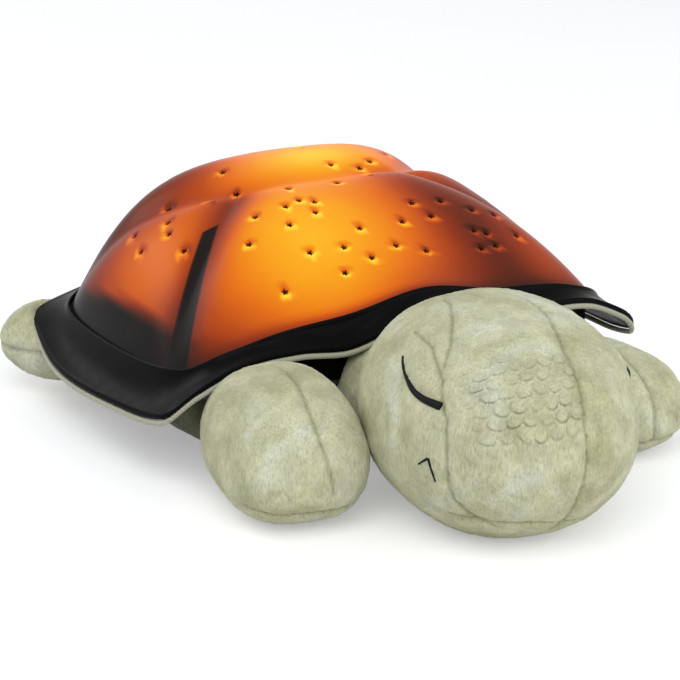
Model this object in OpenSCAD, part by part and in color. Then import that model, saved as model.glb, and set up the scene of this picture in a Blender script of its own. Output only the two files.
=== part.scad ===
// Star night light projector in the shape of a sleeping plush turtle.
// A lit dome pierced with stars sits in a black rim over a stuffed fabric body.
// The nose points along -Y, the shell faces up along +Z, and the floor is z = 0.

/* [Shell] */
// Width over the front corners of the rim
rim_w = 268; // [256:1:280]
// Length of the rim from its front edge to its rear edge
rim_l = 208; // [200:1:216]
// Height of the top of the shell above the floor
shell_top = 118; // [114:1:124]
// Wall of the dome
dome_wall = 2.2; // [1.8:0.1:2.6]

/* [Plush] */
// Distance the nose stands in front of the rim
head_out = 142; // [138:1:146]
// Distance the tail stands behind the rim
tail_out = 10; // [8:1:16]
// Width of the head
head_w = 116; // [110:1:122]
// Height of the head
head_h = 101; // [96:1:106]

/* [Controls and cells] */
// Diameter of the push buttons
button_d = 9; // [8:0.5:10]
// Travel of the push buttons
button_travel = 0.8; // [0.4:0.1:1]
// Diameter of the cells
cell_d = 10.5; // [10.1:0.1:10.9]
// Length of the cells
cell_l = 44.5; // [43.5:0.1:45.5]

/* [Hidden] */
overall_l = head_out + rim_l + tail_out;
nose_y = -overall_l / 2;
tail_y = overall_l / 2;
shell_y = nose_y + head_out + rim_l / 2;
fit = 0.08;
gap = 0.3;
touch = 0.05;

// ---- stations round the shell, closer together at the corners ----
steps = 72;
stations = [for (i = [0:steps - 1]) let (a = -i * 360 / steps) a + 6 * sin(4 * a)];
function sum(v, i = 0) = i < len(v) ? v[i] + sum(v, i + 1) : 0;
function outline(a, sides, sharp) =
    pow(sum([for (s = sides, m = [-1, 1]) pow(max(0, cos(a - m * s[0])) / s[1], sharp)]), -1 / sharp);
rim_sides = [[8, 0.51 * rim_l], [84, 0.525 * rim_w], [106, 0.54 * rim_w], [170, 0.511 * rim_l]];
dome_sides = [[8, 0.478 * rim_l], [84, 0.476 * rim_w], [106, 0.504 * rim_w], [170, 0.476 * rim_l]];
function rim_r(a) = outline(a, rim_sides, 24);
function dome_r(a) = outline(a, dome_sides, 8);
function polar(a, r, z) = [r * sin(a), shell_y - r * cos(a), z];

// ---- heights round the shell, smooth through named angles from the nose ----
edge_heights = [[0, 76], [11, 71], [24, 63], [36, 64], [46, 61], [53, 51], [59, 38], [74, 33],
                [100, 33], [122, 42], [140, 50], [180, 58]];
seat_heights = [[0, 80], [24, 73], [40, 69], [50, 62], [60, 52], [95, 47], [124, 48], [150, 58], [180, 64]];
function slope(t, i) =
    i == 0 || i == len(t) - 1 ? 0 : (t[i + 1][1] - t[i - 1][1]) / (t[i + 1][0] - t[i - 1][0]);
function level(a, t, i = 0) =
    i < len(t) - 2 && a > t[i + 1][0] ? level(a, t, i + 1)
    : let (w = t[i + 1][0] - t[i][0], u = (a - t[i][0]) / w, v = 1 - u)
      t[i][1] * v * v * (1 + 2 * u) + t[i + 1][1] * u * u * (1 + 2 * v)
      + slope(t, i) * w * u * v * v - slope(t, i + 1) * w * u * u * v;
function fold(a) = abs(((a + 180) % 360 + 360) % 360 - 180);
function edge_z(a) = level(fold(a), edge_heights);
function seat_z(a) = level(fold(a), seat_heights);

// ---- the domed back: plates parted by valleys ----
apex = [0, shell_y + 26];
fork_x = 0.17 * rim_w;
fork_y = shell_y + 8;
valleys = [
    [[-fork_x, fork_y], [fork_x, fork_y]],
    [[-fork_x, fork_y], [-0.47 * rim_w, shell_y - 0.34 * rim_l]],
    [[fork_x, fork_y], [0.47 * rim_w, shell_y - 0.34 * rim_l]],
    [[-fork_x, fork_y], [-0.45 * rim_w, shell_y + 0.36 * rim_l]],
    [[fork_x, fork_y], [0.45 * rim_w, shell_y + 0.36 * rim_l]],
];
valley_depth = 9;
valley_width = 13;
function near(p, s) =
    let (d = s[1] - s[0], t = min(max(((p - s[0]) * d) / (d * d), 0), 1)) norm(p - s[0] - t * d);
function valley(p) =
    valley_depth * max([for (s = valleys) exp(-sqrt(pow(near(p, s), 2) + 4) / valley_width)]);
function dome_point(a, q, wall = 0) =
    let (f = polar(a, dome_r(a) - wall, 0),
         p = apex + ([f[0], f[1]] - apex) * q,
         base = 66 + (seat_z(a) - 66) * pow(q, 3),
         top = shell_top + 0.14 * valley_depth)
    [p[0], p[1], base + (top - base) * (1 - pow(q, 2.9 - 0.7 * cos(a)))
                 - valley(p) * (1 - pow(q, 8)) - wall * (1 - pow(q, 8))];

// ---- a place on the dome from a place in plan ----
function cross2(a, b) = a[0] * b[1] - a[1] * b[0];
function foot(a) = let (f = polar(a, dome_r(a), 0)) [f[0], f[1]];
function bearing(p, lo, hi, n) =
    let (mid = (lo + hi) / 2)
    n == 0 ? mid
    : cross2(foot(mid) - apex, p - apex) * sign(p[0]) > 0 ? bearing(p, mid, hi, n - 1)
    : bearing(p, lo, mid, n - 1);
function on_dome(p) =
    let (a = sign(p[0]) * bearing([abs(p[0]), p[1]], 0, 180, 16), q = norm(p - apex) / norm(foot(a) - apex))
    [a, q];
function dome_normal(s) =
    let (n = cross(dome_point(s[0] + 1, s[1]) - dome_point(s[0] - 1, s[1]),
                   dome_point(s[0], s[1] + 0.02) - dome_point(s[0], s[1] - 0.02)))
    n / norm(n) * sign(n[2]);

// ---- closed surfaces from rings of points ----
module tube(rings) {
    n = len(rings[0]);
    m = len(rings);
    polyhedron(
        points = [for (r = rings) each r],
        faces = [for (i = [0:m - 1], j = [0:n - 1])
            let (k = (i + 1) % m, l = (j + 1) % n)
            each [[i * n + j, k * n + j, i * n + l], [i * n + l, k * n + j, k * n + l]]]);
}

// ---- star holes in the dome, placed in plan from the shell's middle ----
star_r = 2.5;
front_stars = [[-54, -25], [-42, -38], [-66, -41], [-41, -56], [-23, -57], [-30, -70], [-63, -71],
               [-9, -48], [3, -62], [15, -48], [-13, -66], [17, -67], [-25, -33], [-37, -25],
               [-28, -22], [-21, -25], [-26, -8], [1, -9], [32, -47], [27, -37], [43, -38],
               [57, -45], [69, -47], [50, -58], [56, -60], [48, -68], [57, -67], [74, -60]];
side_stars = [[-60, 11], [-45, 11], [-82, 13], [-86, 4], [-97, 13], [-87, -14], [-72, 32],
              [-92, 30], [60, -12], [84, 6], [97, 12], [88, -11], [103, -26], [92, 34]];
rear_stars = [[-42, 31], [13, 18], [27, 13], [36, 18], [22, -5], [-15, 52], [10, 46], [38, 46],
              [55, 34], [-30, 60], [-60, 58], [68, 60]];
stars = concat(front_stars, side_stars, rear_stars);
module star_spikes() {
    for (k = [0:4])
        rotate(k * 72)
            hull() {
                translate([star_r, 0, 0]) cube([0.3, 0.3, 4 * dome_wall], center = true);
                cube([0.6, 1.3, 4 * dome_wall], center = true);
            }
}

// ---- the control panel's place: a flat on the rear slope of the dome ----
panel_w = 74;
panel_h = 26;
panel_t = 10;
bezel_w = 66;
bezel_h = 18;
bezel_t = 3;
button_pitch = 15;
panel_q = 0.82;
panel_s = [180, panel_q];
panel_n = dome_normal(panel_s);
panel_p = dome_point(180, panel_q) + 1.4 * panel_n;
panel_tilt = -atan2(panel_n[1], panel_n[2]);
module at_panel() {
    translate(panel_p) rotate([panel_tilt, 0, 0]) children();
}
module slab(w, h, z0, z1) {
    translate([-w / 2, -h / 2, z0]) cube([w, h, z1 - z0]);
}
board_t = 1.6;
board_fix_x = 34;
dome_rows = 11;
module dome() {
    rows = [for (i = [1:dome_rows]) pow(i / dome_rows, 0.85)];
    color("darkorange") difference() {
        union() {
            tube([for (a = stations)
                [for (i = [dome_rows - 1:-1:0]) dome_point(a, rows[i]),
                 dome_point(0, 0), dome_point(0, 0, dome_wall),
                 for (q = rows) dome_point(a, q, dome_wall)]]);
            at_panel() slab(panel_w, panel_h, -panel_t, 0);
        }
        at_panel() slab(bezel_w + 0.2, bezel_h + 0.2, -bezel_t, 1);
        at_panel() slab(4 * button_pitch, button_d + 4, -panel_t - 1, 1);
        at_panel() for (x = [-board_fix_x, board_fix_x])
            translate([x, 0, -panel_t - 1]) cylinder(d = 1.9, h = 6, $fn = 12);
        for (i = [0:len(stars) - 1])
            let (s = on_dome(stars[i] + [0, shell_y]), n = dome_normal(s))
            translate(dome_point(s[0], s[1]))
                rotate([0, acos(n[2]), atan2(n[1], n[0])]) rotate(i * 37) star_spikes();
    }
}

rim_t = 2.4;
deck_z = 42;
deck_t = 3;
function bend(a, b, c, t) = a * pow(1 - t, 2) + b * 2 * t * (1 - t) + c * t * t;
function skirt(a, t) =
    let (d = dome_r(a), e = rim_r(a), s = seat_z(a), z = edge_z(a))
    bend([d + 2, s + 1], [d + (e - d) * 0.45, z + (s - z) * 0.35], [e, z], t);
boss_at = [28, -28, 152, -152];
boss_in = 9;
screw_d = 2.9;
module at_bosses() {
    for (a = boss_at) translate(polar(a, dome_r(a) - boss_in, deck_z)) children();
}
module rim() {
    color("black") difference() {
        union() {
            rim_ring();
            for (a = boss_at)
                translate(polar(a, dome_r(a) - boss_in, deck_z))
                    cylinder(d = 9, h = seat_z(a) - deck_z - 1, $fn = 48);
        }
        at_bosses() translate([0, 0, -1]) cylinder(d = screw_d + 2 * fit, h = 13, $fn = 48);
    }
}
module rim_ring() {
        tube([for (a = stations) let (d = dome_r(a), s = seat_z(a) - touch)
            [for (p = concat(
                [[d - 6, deck_z], [d - 3.6, deck_z], [d - 3.6, s - 3]],
                [for (t = [0.25:0.25:1]) skirt(a, t) - [t == 1 ? 0.4 : 0.6, rim_t]],
                [for (t = [1:-0.25:0]) skirt(a, t)],
                [[d + 0.3, s + 1], [d + 0.3, s], [d - 6, s]]))
                polar(a, p[0], p[1])]]);
}

piping_d = 2.8;
module piping() {
    color("tan")
        tube([for (a = stations) [for (k = [0:5])
            polar(a, rim_r(a) - 0.4 - piping_d / 2 * (1 + cos(k * 60)),
                  edge_z(a) - rim_t - touch - piping_d / 2 * (1 + sin(k * 60)))]]);
}

// ---- base tray under the shell, with the cell bay hanging below it ----
wall = 2;
contact_t = 0.5;
bay_x = cell_l + 6;
bay_y = 3 * cell_d + 2.4;
bay_h = cell_d + 0.1;
bay_floor = deck_z - deck_t - bay_h;
door_t = 2.2;
lug_y = bay_y / 2 + wall + 3.4;
screw_head_d = 5.6;
standoff_h = 10;
led_board = [56, 36];
led_at = [0, shell_y];
control_board = [64, 40];
control_at = [0, shell_y - 0.279 * rim_l];
module at_corners(at, size, inset = 4) {
    for (x = [-1, 1], y = [-1, 1])
        translate([at[0] + x * (size[0] / 2 - inset), at[1] + y * (size[1] / 2 - inset), deck_z]) children();
}
module base_tray() {
    color("dimgray") difference() {
        union() {
            translate([0, 0, deck_z - deck_t]) linear_extrude(deck_t)
                polygon([for (a = stations) let (p = polar(a, dome_r(a) - 3.6, 0)) [p[0], p[1]]]);
            translate([-bay_x / 2 - wall, shell_y - bay_y / 2 - wall, bay_floor])
                cube([bay_x + 2 * wall, bay_y + 2 * wall, bay_h + 0.5]);
            translate([-4.5, shell_y + bay_y / 2, bay_floor]) cube([9, wall + 7, bay_h + 0.5]);
            at_corners(led_at, led_board) translate([0, 0, -0.5]) cylinder(d = 6, h = standoff_h + 0.5, $fn = 48);
            at_corners(control_at, control_board)
                translate([0, 0, -0.5]) cylinder(d = 6, h = standoff_h + 0.5, $fn = 48);
        }
        translate([-bay_x / 2, shell_y - bay_y / 2, bay_floor - 1]) cube([bay_x, bay_y, bay_h + 1]);
        translate([0, shell_y + lug_y, bay_floor - 1]) cylinder(d = 2.2 + 2 * fit, h = 9, $fn = 48);
        for (x = [-14, 14])
            translate([x - 3.1, shell_y - bay_y / 2 - wall - 1, bay_floor + 0.7]) cube([6.2, wall + 2, 1.4]);
        at_bosses() translate([0, 0, -deck_t - 1]) cylinder(d = screw_d + 0.5, h = deck_t + 2, $fn = 48);
        at_bosses() translate([0, 0, -deck_t - 1]) cylinder(d = screw_head_d + 0.6, h = 2.8, $fn = 48);
        at_corners(led_at, led_board) translate([0, 0, 1]) cylinder(d = 2.2 + 2 * fit, h = standoff_h, $fn = 48);
        at_corners(control_at, control_board)
            translate([0, 0, 1]) cylinder(d = 2.2 + 2 * fit, h = standoff_h, $fn = 48);
    }
}
// A pan-head screw whose shank points up (up = 1) or down (up = -1) from its seat at z = 0
module screw(d, head_d, head_h, length, up) {
    translate([0, 0, up > 0 ? -head_h : 0]) cylinder(d = head_d, h = head_h, $fn = 48);
    translate([0, 0, up > 0 ? -0.01 : -length]) cylinder(d = d, h = length + 0.01, $fn = 48);
}
module base_screws() {
    color("silver") at_bosses() translate([0, 0, -deck_t + 1.8]) screw(screw_d, screw_head_d, 1.7, 12, 1);
}
module board(at, size, tone) {
    color(tone) difference() {
        translate([at[0] - size[0] / 2, at[1] - size[1] / 2, deck_z + standoff_h]) cube([size[0], size[1], board_t]);
        at_corners(at, size) translate([0, 0, standoff_h - 1]) cylinder(d = 2.6, h = board_t + 2, $fn = 48);
    }
}
module led_board_plate() { board(led_at, led_board, "white"); }
module control_board_plate() { board(control_at, control_board, "green"); }
module board_screws(at, size) {
    color("silver") at_corners(at, size)
        translate([0, 0, standoff_h + board_t]) screw(2.2, 4.2, 1.4, 7, -1);
}
board_top = deck_z + standoff_h + board_t;
module led(x, tone) {
    color(tone) translate([x, led_at[1], board_top]) {
        cylinder(d = 5.8, h = 1, $fn = 48);
        cylinder(d = 5, h = 6, $fn = 48);
        translate([0, 0, 6]) sphere(d = 5, $fn = 48);
    }
}
module control_chip() {
    color("black") translate([control_at[0] - 5, control_at[1] - 4, board_top]) cube([10, 8, 2]);
}
module capacitors() {
    color("navy") for (x = [-18, 18])
        translate([x, control_at[1], board_top]) cylinder(d = 6.3, h = 8, $fn = 48);
}

// ---- cells, contacts and door ----
module cell(k) {
    s = k == 0 ? -1 : 1;
    color("slategray") translate([-s * cell_l / 2, shell_y + k * (cell_d + 0.6), deck_z - deck_t - cell_d / 2 - touch])
        rotate([0, s * 90, 0]) {
            cylinder(d = cell_d, h = cell_l - 1, $fn = 64);
            translate([0, 0, cell_l - 1.01]) cylinder(d = 3.8, h = 1.01, $fn = 48);
        }
}
// Each contact is a leaf folded once: a flat on the end wall and a tongue that bears on the cell
module contacts() {
    color("gold") for (k = [-1:1], s = [-1, 1])
        translate([0, shell_y + k * (cell_d + 0.6), bay_floor + 1]) {
            translate([s > 0 ? bay_x / 2 - contact_t : -bay_x / 2, -4, 0]) cube([contact_t, 8, cell_d - 1.5]);
            translate([s > 0 ? cell_l / 2 : -bay_x / 2, -2.5, cell_d / 2 - 2])
                cube([bay_x / 2 - cell_l / 2, 5, contact_t]);
            translate([s > 0 ? cell_l / 2 : -cell_l / 2 - contact_t, -2.5, cell_d / 2 - 3.5]) cube([contact_t, 5, 4]);
        }
}
module cell_door() {
    color("dimgray") difference() {
        union() {
            translate([-bay_x / 2 - wall, shell_y - bay_y / 2 - wall, bay_floor - door_t])
                cube([bay_x + 2 * wall, bay_y + 2 * wall, door_t]);
            translate([-4.5, shell_y + bay_y / 2, bay_floor - door_t]) cube([9, wall + 7, door_t]);
            for (x = [-14, 14]) {
                translate([x - 3, shell_y - bay_y / 2 + 0.1, bay_floor - 0.5]) cube([6, 1.2, 2.5]);
                translate([x - 3, shell_y - bay_y / 2 - 1.4, bay_floor + 0.8]) cube([6, 2.6, 1.2]);
            }
        }
        translate([0, shell_y + lug_y, bay_floor - door_t - 1]) cylinder(d = 2.6, h = door_t + 2, $fn = 48);
    }
}
module door_screw() {
    color("silver") translate([0, shell_y + lug_y, bay_floor - door_t]) screw(2.2, 4.4, 1.5, 9, 1);
}

// ---- control panel: bezel, buttons, switches and their board ----
button_names = ["power", "amber", "green", "blue"];
function button_x(i) = (i - 1.5) * button_pitch;
flange_t = 1.75;
plunger_d = 3.5;
switch_top = -6.8;
module bezel() {
    color("black") at_panel() difference() {
        slab(bezel_w, bezel_h, -bezel_t, 0);
        for (i = [0:3]) translate([button_x(i), 0, -bezel_t - 1])
            cylinder(d = button_d + 2 * fit, h = bezel_t + 2, $fn = 64);
    }
}
module button(i, tone) {
    color(tone) at_panel() translate([button_x(i), 0, -bezel_t - touch]) {
        cylinder(d = button_d, h = bezel_t + 2.4, $fn = 64);
        translate([0, 0, -flange_t]) cylinder(d = button_d + 2, h = flange_t, $fn = 64);
    }
}
module plunger(i) {
    color("black") at_panel() translate([button_x(i), 0, switch_top - 0.8])
        cylinder(d = plunger_d, h = -bezel_t - touch - flange_t - switch_top + 0.8, $fn = 48);
}
module switch_bodies() {
    color("silver") at_panel() for (i = [0:3]) difference() {
        translate([button_x(i), 0, 0]) slab(6, 6, -panel_t, switch_top);
        translate([button_x(i), 0, switch_top - 0.85 - button_travel])
            cylinder(d = plunger_d + 0.1, h = 4, $fn = 48);
    }
}
module button_board() {
    color("green") at_panel() difference() {
        slab(panel_w, 14, -panel_t - board_t, -panel_t);
        for (x = [-board_fix_x, board_fix_x]) translate([x, 0, -panel_t - board_t - 1])
            cylinder(d = 2.3, h = board_t + 2, $fn = 48);
    }
}
module button_board_screws() {
    color("silver") at_panel() for (x = [-board_fix_x, board_fix_x])
        translate([x, 0, -panel_t - board_t]) screw(1.8, 3.6, 1.2, 6, 1);
}

// ---- stuffed forms, swelling and tapering in bands ----
function sgnpow(v, e) = sign(v) * pow(abs(v), e);
function plump_point(size, kx, kz, u, v) =
    [sgnpow(cos(v), 2 / kz) * sgnpow(cos(u), 2 / kx) * size[0] / 2,
     sgnpow(cos(v), 2 / kz) * sgnpow(sin(u), 2 / kx) * size[1] / 2,
     sgnpow(sin(v), 2 / kz) * size[2] / 2];
module plump(size, kx, kz, n, m, grow = 0) {
    big = size + 2 * grow * [1, 1, 1];
    for (i = [0:m - 1])
        hull()
            polyhedron(
                points = [for (v = [-90 + 180 * i / m, -90 + 180 * (i + 1) / m], j = [0:n - 1])
                    plump_point(big, kx, kz, j * 360 / n, v)],
                faces = [[for (j = [0:n - 1]) j], [for (j = [n - 1:-1:0]) n + j]]);
}

head_l = 142;
head_turn = -6;
head_size = [head_w, head_l, head_h + 4];
head_mid = [-0.05 * rim_w, nose_y + head_l / 2, head_h / 2 - 2];
head_kx = 2.2;
head_kz = 2.1;
module head_form(grow = 0) {
    translate(head_mid) rotate(head_turn) plump(head_size, head_kx, head_kz, 40, 16, grow);
}
module above_floor() {
    translate([-overall_l, -overall_l, 0]) cube([2 * overall_l, 2 * overall_l, shell_top]);
}
// The room that the shell and tray take, with the clearance left round them
module shell_room() {
    tube([for (a = stations) let (d = dome_r(a), e = rim_r(a), s = seat_z(a), z = edge_z(a))
        [for (p = [[10, 190], [10, deck_z - deck_t - gap], [d - 3.6 + gap, deck_z - deck_t - gap],
                   [d - 3.6 + gap, s - 3 - gap],
                   for (t = [0.5, 0.75]) skirt(a, t) - [0.6, rim_t + gap],
                   [e - piping_d - 0.4 - gap, z - rim_t - gap],
                   [e - piping_d - 0.4 - gap, z - rim_t - piping_d - gap - touch],
                   [e + gap, z - rim_t - piping_d - gap - touch], [e + gap, 190]])
            polar(a, p[0], p[1])]]);
}
module head() {
    color("darkkhaki") difference() {
        intersection() {
            head_form();
            above_floor();
        }
        shell_room();
    }
}
neck_size = [0.32 * rim_w, 0.337 * rim_l, 0.56 * shell_top];
neck_mid = [-0.02 * rim_w, shell_y - 0.471 * rim_l, 0.305 * shell_top];
module neck() {
    color("darkkhaki") difference() {
        translate(neck_mid) plump(neck_size, 2.4, 2.2, 28, 9);
        head_form(gap);
        belly_form(gap);
        shell_room();
    }
}
flipper_l = 0.46 * rim_l;
flipper_y = nose_y + 0.88 * head_out;
right_flipper_size = [0.257 * rim_w, flipper_l, 0.525 * shell_top];
right_flipper_mid = [-0.343 * rim_w, flipper_y, 0.246 * shell_top];
left_flipper_size = [0.232 * rim_w, flipper_l, 0.44 * shell_top];
left_flipper_mid = [0.3 * rim_w, flipper_y, 0.195 * shell_top];
module front_flipper(side) {
    color("darkkhaki") difference() {
        intersection() {
            translate(side < 0 ? right_flipper_mid : left_flipper_mid) rotate(side * 12)
                plump(side < 0 ? right_flipper_size : left_flipper_size, side < 0 ? 2.9 : 2.4, 2.3, 28, 12);
            above_floor();
        }
        head_form(gap);
        belly_form(gap);
        shell_room();
    }
}
rear_flipper_size = [0.172 * rim_w, 0.404 * rim_l, 0.373 * shell_top];
rear_flipper_mid = [0.388 * rim_w, tail_y - 0.207 * rim_l, 0.229 * shell_top];
module rear_flipper(side) {
    color("darkkhaki") difference() {
        translate([side * rear_flipper_mid[0], rear_flipper_mid[1], rear_flipper_mid[2]]) rotate(side * -62)
            plump(rear_flipper_size, 2.2, 2.2, 24, 12);
        belly_form(gap);
        shell_room();
    }
}
tail_size = [0.119 * rim_w, 0.25 * rim_l, 0.322 * shell_top];
tail_mid = [0, tail_y - tail_size[1] / 2, 0.22 * shell_top];
module tail() {
    color("darkkhaki") difference() {
        translate(tail_mid) plump(tail_size, 2, 2, 20, 10);
        belly_form(gap);
        shell_room();
    }
}

// ---- the stuffed belly stands on the floor round a well under the cell bay ----
belly_top = deck_z - deck_t - 0.2;
belly_profile = [[0.66, 0], [0.84, 5], [0.95, 12], [1, 22], [0.99, 31], [0.93, belly_top]];
well_l = 31;
well_w = 38;
recess_w = 8;
recess_h = 4.6;
function belly_r(a) = 0.8 * rim_r(a);
function well_r(a) = pow(pow(abs(cos(a)) / well_l, 10) + pow(abs(sin(a)) / well_w, 10), -0.1);
module belly_form(grow = 0) {
    tube([for (a = stations) let (b = belly_r(a) + grow, w = well_r(a))
        [for (p = concat([[w, belly_top], [w, recess_h], [w + recess_w, recess_h], [w + recess_w, 0]],
                         [for (r = belly_profile) [r[0] * b, r[1]]]))
            polar(a, p[0], p[1])]]);
}
module belly() {
    color("olivedrab") belly_form();
}

// ---- the flap that closes the well, hinged at its front edge ----
flap_t = 2.4;
flap_z = 1.2;
tape_t = 0.4;
flap_in = 1;
module flap() {
    color("olivedrab") translate([0, 0, flap_z]) linear_extrude(flap_t)
        polygon([for (a = stations) let (p = polar(a, well_r(a) + recess_w - flap_in, 0)) [p[0], p[1]]]);
}
tape_l = 46;
tape_w = 5;
tape_y = shell_y + well_l + 0.6;
module hook_tape() {
    color("black") translate([-tape_l / 2, tape_y, flap_z + flap_t]) cube([tape_l, tape_w, tape_t]);
}
module loop_tape() {
    color("black") translate([-tape_l / 2, tape_y, recess_h - tape_t]) cube([tape_l, tape_w, tape_t]);
}

// ---- embroidered face, laid on the head ----
function head_at(t, v, lift) =
    let (p = plump_point(head_size + 2 * lift * [1, 1, 1], head_kx, head_kz, t - 90, v),
         c = cos(head_turn), s = sin(head_turn))
    head_mid + [c * p[0] - s * p[1], s * p[0] + c * p[1], p[2]];
module stitch(path, side, r0, r1) {
    n = len(path);
    for (i = [0:n - 2]) hull() for (k = [i, i + 1])
        translate(head_at(side * path[k][0], path[k][1], 1))
            sphere(r = r0 + (r1 - r0) * k / (n - 1), $fn = 6);
}
eye_path = [[91, 36], [88, 34], [85, 32], [80, 29], [75, 26], [70, 25], [66, 24], [63, 23], [60, 23]];
nostril_path = [[67, -4], [66, -3], [65, -2], [64, -1], [63, 0], [62, -3], [61, -6], [60, -9], [59, -12]];
module eye(side) { color("black") stitch(eye_path, side, 0.5, 1.1); }
module nostril(side) { color("black") stitch(nostril_path, side, 0.6, 0.6); }

dome();
rim();
piping();
base_tray();
base_screws();
led_board_plate();  // led_board
board_screws(led_at, led_board);  // led_board_screws
led(-14, "orange");  // amber_led
led(0, "lime");  // green_led
led(14, "blue");  // blue_led
control_board_plate();  // control_board
board_screws(control_at, control_board);  // control_board_screws
control_chip();
capacitors();
cell(-1);  // cell_1
cell(0);  // cell_2
cell(1);  // cell_3
contacts();
cell_door();
door_screw();
bezel();
button(0, "white");  // power_button
button(1, "orange");  // amber_button
button(2, "lime");  // green_button
button(3, "blue");  // blue_button
plunger(0);  // power_plunger
plunger(1);  // amber_plunger
plunger(2);  // green_plunger
plunger(3);  // blue_plunger
switch_bodies();
button_board();
button_board_screws();
head();
neck();
front_flipper(-1);  // front_flipper_right
front_flipper(1);  // front_flipper_left
rear_flipper(-1);  // rear_flipper_right
rear_flipper(1);  // rear_flipper_left
tail();
belly();
flap();
hook_tape();
loop_tape();
eye(-1);  // eye_right
eye(1);  // eye_left
nostril(-1);  // nostril_right
nostril(1);  // nostril_left
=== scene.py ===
import bpy, math
import numpy as np
from mathutils import Vector, Matrix


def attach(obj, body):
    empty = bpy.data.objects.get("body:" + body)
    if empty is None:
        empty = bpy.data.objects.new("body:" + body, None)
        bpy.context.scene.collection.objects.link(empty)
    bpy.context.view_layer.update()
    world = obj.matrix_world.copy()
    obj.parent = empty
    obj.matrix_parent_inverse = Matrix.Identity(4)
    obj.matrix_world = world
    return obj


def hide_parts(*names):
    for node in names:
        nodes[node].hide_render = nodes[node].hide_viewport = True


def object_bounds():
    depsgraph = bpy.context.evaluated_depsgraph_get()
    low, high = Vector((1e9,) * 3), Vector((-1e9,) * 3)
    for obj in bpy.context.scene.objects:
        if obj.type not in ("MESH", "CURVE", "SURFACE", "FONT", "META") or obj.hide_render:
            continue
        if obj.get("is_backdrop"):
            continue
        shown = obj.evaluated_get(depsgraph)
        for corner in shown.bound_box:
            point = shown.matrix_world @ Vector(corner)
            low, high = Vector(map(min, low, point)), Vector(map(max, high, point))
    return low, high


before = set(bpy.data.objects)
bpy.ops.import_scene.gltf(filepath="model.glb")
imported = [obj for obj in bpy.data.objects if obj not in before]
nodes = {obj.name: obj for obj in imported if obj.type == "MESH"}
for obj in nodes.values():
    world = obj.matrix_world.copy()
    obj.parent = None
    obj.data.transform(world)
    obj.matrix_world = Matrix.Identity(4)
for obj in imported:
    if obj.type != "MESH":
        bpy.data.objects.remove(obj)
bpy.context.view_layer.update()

MM = 0.001

# ---------------------------------------------------------------- lit dome
# The lit shell: one thin moulding of clear amber plastic, domed into plates that valleys part.
# Its foot stands on the seat of the black rim, and small star holes are moulded through it.
SHELL_Y = 66.0
RIM_W, RIM_L, SHELL_TOP, DOME_WALL = 268.0, 208.0, 118.0, 2.2
RIM_SIDES = [(8, 0.51 * RIM_L), (84, 0.525 * RIM_W), (106, 0.54 * RIM_W), (170, 0.511 * RIM_L)]
DOME_SIDES = [(8, 0.478 * RIM_L), (84, 0.476 * RIM_W), (106, 0.504 * RIM_W), (170, 0.476 * RIM_L)]
RIM_SHARP, DOME_SHARP = 24, 8
EDGE_HEIGHTS = [(0, 76), (11, 71), (24, 63), (36, 64), (46, 61), (53, 51), (59, 38), (74, 33),
                (100, 33), (122, 42), (140, 50), (180, 58)]
SEAT_HEIGHTS = [(0, 80), (24, 73), (40, 69), (50, 62), (60, 52), (95, 47), (124, 48), (150, 58), (180, 64)]
APEX = np.array([0, SHELL_Y + 26.0])
FORK_X, FORK_Y = 0.17 * RIM_W, SHELL_Y + 8
VALLEYS = [((-FORK_X, FORK_Y), (FORK_X, FORK_Y)),
           ((-FORK_X, FORK_Y), (-0.47 * RIM_W, SHELL_Y - 0.34 * RIM_L)),
           ((FORK_X, FORK_Y), (0.47 * RIM_W, SHELL_Y - 0.34 * RIM_L)),
           ((-FORK_X, FORK_Y), (-0.45 * RIM_W, SHELL_Y + 0.36 * RIM_L)),
           ((FORK_X, FORK_Y), (0.45 * RIM_W, SHELL_Y + 0.36 * RIM_L))]
VALLEY_DEPTH, VALLEY_WIDTH, VALLEY_ROUND = 9.0, 13.0, 2
SEAT_MID, CROWN_LIFT = 66, 0.14
FALL_AT_SIDE, FALL_TURN, FOOT_POWER = 2.9, 0.7, 8
CORNER_PULL = 6  # degrees by which the rings' points are drawn towards the four corners
TOUCHING = 0.00001


def outline(a, sides, sharp):
    """Radius at a bearing of the rounded polygon whose sides stand at these bearings and distances, and mirrored."""
    total = sum(max(0.0, math.cos(math.radians(a - m * s))) ** sharp / r ** sharp for s, r in sides for m in (-1, 1))
    return total ** (-1 / sharp)


def rim_r(a):
    return outline(a, RIM_SIDES, RIM_SHARP)


def dome_r(a):
    return outline(a, DOME_SIDES, DOME_SHARP)


def level(a, table):
    """A height at a bearing, on a smooth curve through the table's heights."""
    a = abs((a + 180) % 360 - 180)
    i = 0
    while i < len(table) - 2 and a > table[i + 1][0]:
        i += 1

    def slope(k):
        if k in (0, len(table) - 1):
            return 0.0
        return (table[k + 1][1] - table[k - 1][1]) / (table[k + 1][0] - table[k - 1][0])
    w = table[i + 1][0] - table[i][0]
    u = (a - table[i][0]) / w
    v = 1 - u
    return (table[i][1] * v * v * (1 + 2 * u) + table[i + 1][1] * u * u * (1 + 2 * v)
            + slope(i) * w * u * v * v - slope(i + 1) * w * u * u * v)


def plan(a, r):
    return np.array([r * math.sin(math.radians(a)), SHELL_Y - r * math.cos(math.radians(a))])


def span(p, s):
    """Distance from a place to a stretch between two places, and how far along it the nearest place is."""
    a, b = np.array(s[0], float), np.array(s[1], float)
    t = min(max(np.dot(p - a, b - a) / np.dot(b - a, b - a), 0), 1)
    return math.hypot(*(p - a - t * (b - a))), t


def valley(p):
    return VALLEY_DEPTH * max(math.exp(-math.sqrt(span(p, s)[0] ** 2 + VALLEY_ROUND ** 2) / VALLEY_WIDTH)
                              for s in VALLEYS)


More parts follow.
